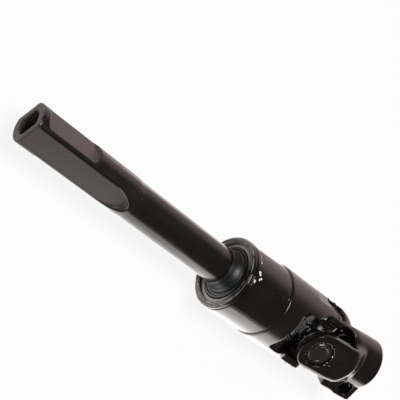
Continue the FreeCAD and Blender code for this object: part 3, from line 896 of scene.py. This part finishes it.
def ring_group():
    """Thin circle, for a worn line and for a painted highlight line: a thin line at one radius from an axis, near
    one place on it, broken up by noise.
    """
    tree, given, result = new_group("ring_wear_and_highlight", [
        ("Centre", VECTOR, (0, 0, 0)), ("Axis", VECTOR, (1, 0, 0)), ("Radius", FLOAT, 0.01),
        ("Width", FLOAT, 0.0003)])
    offset = measure(tree, "SUBTRACT", object_place(tree), given["Centre"])
    along = measure(tree, "DOT_PRODUCT", offset, given["Axis"])
    length = measure(tree, "LENGTH", offset)
    square = calculate(tree, "MULTIPLY", length, length)
    square = calculate(tree, "SUBTRACT", square, calculate(tree, "MULTIPLY", along, along))
    miss = calculate(tree, "SUBTRACT", calculate(tree, "SQRT", square), given["Radius"])
    miss = calculate(tree, "DIVIDE", calculate(tree, "ABSOLUTE", miss), given["Width"])
    line = ramp(tree, miss, 0.3, 1.0, 1.0, 0.0)
    near = calculate(tree, "LESS_THAN", calculate(tree, "ABSOLUTE", along), RING_DEPTH)
    broken = ramp(tree, noise(tree, 260.0, 4.0), 0.38, 0.62)
    tree.links.new(calculate(tree, "MULTIPLY", calculate(tree, "MULTIPLY", line, near), broken), result)
    return tree


groups.update({group.name: group for group in (chip_group(), scratch_group(), ring_group())})


def use(tree, group_name, **inputs):
    """Output of one of the shared groups, placed with its own values."""
    return add(tree, "ShaderNodeGroup", {"node_tree": groups[group_name]}, **inputs).outputs[0]


print("groups", sorted(groups))

# %% [markdown]
# The paint is thin stoving enamel over steel: nearly black, glossy, with a warm tint in what it mirrors.
# The tint is the shader's own, so it fades to white at the rims as it does in the photograph. Clouds of
# handling marks change the gloss a little, masks of the mesh bring in the tip's duller parts, and chips,
# scratches and worn rings show pale bare metal through it. The same pale colour also paints highlights:
# lines of light on the sleeve's rolled rim and glints on the clamp's front ear.

# %% Paint
BARE_STEEL_AND_HIGHLIGHT = (0.78, 0.77, 0.75)
BARE_ROUGHNESS = 0.45
SPECK_STRENGTH = 0.25
CHIP_DEPTH = -2.0
ENAMEL_IOR = 1.5
BUMP_DISTANCE = 0.0001


def shaded(tree, output, height, strength, distance=BUMP_DISTANCE, **inputs):
    """Principled shader over a bump of this height, linked to the material's output."""
    bump = add(tree, "ShaderNodeBump", Strength=strength, Distance=distance, Height=height)
    shader = add(tree, "ShaderNodeBsdfPrincipled", Normal=bump.outputs[0], **inputs)
    tree.links.new(shader.outputs[0], output.inputs["Surface"])


def worn_and_highlight_mask(tree, chips_and_glints, scratches, rings_and_highlights):
    """Highest of the masks of all specks, chips, painted glints, scratches, worn rings and painted highlight
    rings, each with its own strength.
    """
    marks = [(use(tree, "chip_and_glint_spot", Centre=tuple(centre * MM), Radius=radius * MM), 1.0)
             for centre, radius in chips_and_glints]
    marks += [(use(tree, "scratch", Start=tuple(start * MM), End=tuple(end * MM), Width=width * MM), strength)
              for start, end, width, strength in scratches]
    marks += [(use(tree, "ring_wear_and_highlight", Centre=tuple(centre * MM), Axis=tuple(axis), Radius=radius * MM,
                   Width=width * MM), strength) for centre, axis, radius, width, strength in rings_and_highlights]
    bare_and_highlight = use(tree, "specks", Scale=520.0, Size=0.16, Amount=0.035)
    bare_and_highlight = calculate(tree, "MULTIPLY", bare_and_highlight, SPECK_STRENGTH)
    for mask, strength in marks:
        bare_and_highlight = calculate(tree, "MAXIMUM", bare_and_highlight, calculate(tree, "MULTIPLY", mask, strength))
    return bare_and_highlight


def painted(name, colours, gloss, peel, tint=(1.0, 0.93, 0.91), masks=(), chips_and_glints=(), scratches=(), rings_and_highlights=()):
    """Enamel: two colours mixed by a cloud, two glosses by another, then the mesh's masks, then pale bare metal
    for chips and wear, which also paints highlight lines and glints.
    """
    material, output = new_material(name)
    tree = material.node_tree
    base = blend_colour(tree, use(tree, "cloud", Scale=55.0, Low=0.42, High=0.75), *colours)
    rough = blend_value(tree, use(tree, "cloud", Scale=18.0, Low=0.4, High=0.7), *gloss)
    for mask_name, mask_colour, mask_rough in masks:
        mask = add(tree, "ShaderNodeAttribute", {"attribute_name": mask_name}).outputs["Fac"]
        base = blend_colour(tree, mask, base, mask_colour)
        rough = blend_value(tree, mask, rough, mask_rough)
    # Chips, scratches and worn rings bring in pale bare metal here, and the same colour paints the highlight rings
    # and glints.
    bare_and_highlight = worn_and_highlight_mask(tree, chips_and_glints, scratches, rings_and_highlights)
    base = blend_colour(tree, bare_and_highlight, base, BARE_STEEL_AND_HIGHLIGHT)
    rough = blend_value(tree, bare_and_highlight, rough, BARE_ROUGHNESS)
    height = use(tree, "orange_peel", Fine_Scale=1100.0, Ripple_Scale=90.0)
    height = calculate(tree, "MULTIPLY_ADD", bare_and_highlight, CHIP_DEPTH, height)
    shaded(tree, output, height, peel, Base_Color=base, Roughness=rough, IOR=ENAMEL_IOR,
           Specular_Tint=(*tint, 1))
    return material


print("paint ready, bare metal", BARE_STEEL_AND_HIGHLIGHT)

# %% [markdown]
# Chips, scratches and painted glints are where the photograph has them. Each is held as its pixel and carried
# along the line of sight to the sleeve's cylinder or to the face of the clamp's front ear, so it lands on the real
# surface and rides with its piece. The spots on the ear are painted highlights, not chips. The rim's painted
# highlight lines and the tip's worn line are circles about the piece's own axis.

# %% Places of the marks and the four paints
CHIPS_PX = (((260.3, 272.8), 0.8), ((260.5, 275.0), 0.7), ((259.5, 279.7), 0.6), ((261.2, 279.3), 0.65),
            ((254.8, 281.0), 0.65), ((254.5, 282.3), 0.5), ((262.2, 263.0), 0.45))
SCRATCHES_PX = (((261.5, 255.5), (261.7, 262.0), 0.4, 0.4), ((289.0, 299.6), (289.3, 301.8), 0.4, 0.5))
# Painted glints: pale spots on the clamp's front ear that stand in for small highlights round the staked cup.
GLINTS_PX = (((319.0, 358.5), 0.35), ((332.5, 357.0), 0.4), ((327.0, 362.5), 0.4), ((324.0, 365.0), 0.35),
           ((310.0, 349.0), 0.35), ((329.0, 365.5), 0.3))
FRONT_FACE = 19.4
TIP_MASKS = (("swaged", (0.054, 0.041, 0.039), 0.45), ("hollow", (0.085, 0.066, 0.048), 0.5))


def on_plane(pixel, centre, normal):
    """Point where the line of sight meets the plane through a centre."""
    start, direction = sight(pixel)
    return start + direction * (((centre - start) @ normal) / (direction @ normal))


front_up = clamp.up if clamp.up @ look < 0 else -clamp.up
front_face = cross_centre + front_up * FRONT_FACE
sleeve_chips = [(on_cylinder(pixel, coupling, SLEEVE_R), radius) for pixel, radius in CHIPS_PX]
sleeve_scratches = [(*[on_cylinder(pixel, coupling, SLEEVE_R) for pixel in ends], width, strength)
                    for *ends, width, strength in SCRATCHES_PX]
# The ear's spots are painted glints in the pale bare-metal colour.
yoke_glints = [(on_plane(pixel, front_face, front_up), radius) for pixel, radius in GLINTS_PX]
rim_centre = coupling.centre + coupling.along * RIM
# Painted highlights: the rim's three pale rings stand in for light caught on the rolled bead and on the thin rings
# inside the lip.
rim_highlight_rings = [(rim_centre, coupling.along, 17.75, 0.45, 0.42), (rim_centre, coupling.along, 19.55, 0.4, 0.34),
             (rim_centre + coupling.along * 0.4, coupling.along, 16.9, 0.4, 0.12)]
tip_rings = [(np.array([0.2, 0, 0]), shaft.along, TIP_R - 0.35, 0.4, 0.2)]

sleeve_paint = painted("sleeve_paint", ((0.0034, 0.0031, 0.0030), (0.007, 0.006, 0.0056)), (0.09, 0.15), 0.06,
                       chips_and_glints=sleeve_chips, scratches=sleeve_scratches, rings_and_highlights=rim_highlight_rings)
yoke_paint = painted("yoke_paint", ((0.0042, 0.0035, 0.0034), (0.010, 0.0075, 0.007)), (0.14, 0.22), 0.10,
                     tint=(1.0, 0.88, 0.86), chips_and_glints=yoke_glints)
shaft_paint = painted("tube_paint", ((0.0046, 0.0040, 0.0036), (0.011, 0.009, 0.008)), (0.18, 0.26), 0.08,
                      masks=TIP_MASKS, rings_and_highlights=tip_rings)
cup_paint = painted("bearing_paint", ((0.016, 0.011, 0.010), (0.030, 0.020, 0.018)), (0.22, 0.34), 0.15)
print("chips_and_glints", len(sleeve_chips + yoke_glints), "scratches", len(sleeve_scratches))

# %% [markdown]
# Rubber is matt and slightly green, the forged cross is dark and greasy, and the pieces inside are plain
# ground steel and nylon. Grease is the same dark colour with a high gloss and a lumpy bump, broken by pale
# specks of grit that catch the light.

# %% Rubber, greasy steel, ground steel and nylon
GRIT_COLOUR = (0.60, 0.62, 0.57)
STREAK_SCALE = (60, 900, 900)


def rubber_material():
    """Satin rubber: dark green-black, a cloud of bloom and a fine bump."""
    material, output = new_material("isolator_rubber")
    tree = material.node_tree
    bloom = use(tree, "cloud", Scale=60.0, Low=0.4, High=0.8)
    base = blend_colour(tree, bloom, (0.002, 0.0045, 0.0034), (0.006, 0.011, 0.0085))
    rough = blend_value(tree, bloom, 0.38, 0.55)
    height = use(tree, "orange_peel", Fine_Scale=1600.0, Ripple_Scale=200.0)
    shaded(tree, output, height, 0.25, Base_Color=base, Roughness=rough, IOR=1.5)
    return material


def greasy_material():
    """Dark forging under grease: lumpy bump, high gloss and scattered pale grit."""
    material, output = new_material("greasy_forging")
    tree = material.node_tree
    film = use(tree, "cloud", Scale=150.0, Low=0.35, High=0.65)
    grit = use(tree, "specks", Scale=620.0, Size=0.36, Amount=0.32)
    base = blend_colour(tree, film, (0.003, 0.0045, 0.004), (0.010, 0.013, 0.011))
    base = blend_colour(tree, grit, base, GRIT_COLOUR)
    rough = blend_value(tree, film, 0.14, 0.38)
    height = calculate(tree, "MULTIPLY_ADD", grit, 0.8, noise(tree, 420.0, 4.0))
    shaded(tree, output, height, 0.7, distance=0.0005, Base_Color=base, Roughness=rough, IOR=1.48)
    return material


def ground_steel_material(name, colour, low, high):
    """Ground steel: metallic, with fine brushed streaks in its gloss."""
    material, output = new_material(name)
    tree = material.node_tree
    place = add(tree, "ShaderNodeMapping", Vector=object_place(tree), Scale=STREAK_SCALE).outputs[0]
    streaks = add(tree, "ShaderNodeTexNoise", Vector=place, Scale=1.0, Detail=4.0).outputs[0]
    base = blend_colour(tree, streaks, colour, tuple(0.8 * channel for channel in colour))
    rough = blend_value(tree, streaks, low, high)
    shaded(tree, output, streaks, 0.08, Base_Color=base, Metallic=1.0, Roughness=rough)
    return material


def nylon_material():
    """Natural nylon: warm white, satin, with a faint cloud."""
    material, output = new_material("nylon_pad")
    tree = material.node_tree
    cloud = use(tree, "cloud", Scale=300.0, Low=0.3, High=0.8)
    base = blend_colour(tree, cloud, (0.55, 0.52, 0.42), (0.48, 0.44, 0.34))
    rough = blend_value(tree, cloud, 0.4, 0.55)
    shader = add(tree, "ShaderNodeBsdfPrincipled", Base_Color=base, Roughness=rough, IOR=1.53)
    tree.links.new(shader.outputs[0], output.inputs["Surface"])
    return material


rubber = rubber_material()
greasy = greasy_material()
steel = ground_steel_material("ground_steel", (0.45, 0.44, 0.42), 0.22, 0.4)
dull_steel = ground_steel_material("ring_steel", (0.16, 0.15, 0.14), 0.3, 0.5)
nylon = nylon_material()
print("materials", len(bpy.data.materials))

# %% [markdown]
# Each finish is worth nothing until a piece wears it. The new surfaces and the solids that were carried over
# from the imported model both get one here, so that nothing stays in the plain grey of the frame.

# %% Hand the finishes out


def dress(pieces, material):
    """Give each piece this one material in every slot."""
    for piece in pieces:
        if not piece.data.materials:
            piece.data.materials.append(material)
        for slot in piece.material_slots:
            slot.material = material


cad = frame["nodes"]
dress([shaft_piece], shaft_paint)
dress([sleeve_piece], sleeve_paint)
dress([cup_yoke_piece, clamp_yoke_piece, *stake_pieces], yoke_paint)
dress(cup_pieces, cup_paint)
dress([rubber_piece, *seal_pieces], rubber)
dress([cross_piece], greasy)
dress([cad["outer_ring"], cad["stop_washer"], cad["inner_bush"]], dull_steel)
dress([cad[name] for name in cad if name.startswith("needle_set")], steel)
dress([cad[name] for name in cad if name.startswith("thrust_pad")], nylon)
unfinished = [name for name in cad if not cad[name].hide_render and not cad[name].data.materials]
print("CAD nodes without a finish:", unfinished)
